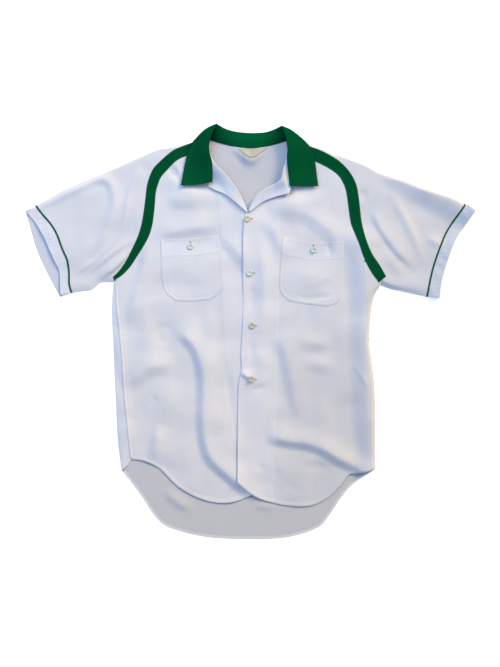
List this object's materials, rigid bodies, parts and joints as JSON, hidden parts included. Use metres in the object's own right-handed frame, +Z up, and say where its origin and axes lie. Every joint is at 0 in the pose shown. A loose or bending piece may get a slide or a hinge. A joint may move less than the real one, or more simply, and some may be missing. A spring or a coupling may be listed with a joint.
{
  "type": "bowling shirt",
  "caption": "Short-sleeved camp-collar bowling shirt laid flat, with contrast collar, raglan bands, cuff piping, patch pockets and a curved hem.",
  "frame": {"origin": "on the surface it lies on, under the middle of the garment's outline", "axes": "+Z up off the surface, +Y from the hem to the collar, +X towards the wearer's left sleeve"},
  "size_m": [0.9, 0.8292, 0.0227],
  "materials": {
    "white_cloth": "smooth fine white cotton blend with a soft sheen",
    "white_satin": "white facing with a satin sheen",
    "green_cloth": "deep green fine twill",
    "white_thread": "white sewing thread",
    "neck_label": "cream woven label, blank",
    "button_pearl": "glossy mother-of-pearl look with four holes"
  },
  "bodies": {
    "root": {"back": "white_cloth", "front_right": "white_cloth", "front_left": "white_cloth", "sleeve_right": "white_cloth", "sleeve_left": "white_cloth", "cuff_right": "white_cloth", "cuff_left": "white_cloth", "pocket_right": "white_cloth", "pocket_left": "white_cloth", "lapel_right": "white_satin", "lapel_left": "white_satin", "collar_loop": "white_thread", "collar": "green_cloth", "band_right": "green_cloth", "band_left": "green_cloth", "piping_right": "green_cloth", "piping_left": "green_cloth", "label": "neck_label", "button_1": "button_pearl", "button_2": "button_pearl", "button_3": "button_pearl", "button_4": "button_pearl", "pocket_button_right": "button_pearl", "pocket_button_left": "button_pearl"}
  },
  "joints": []
}
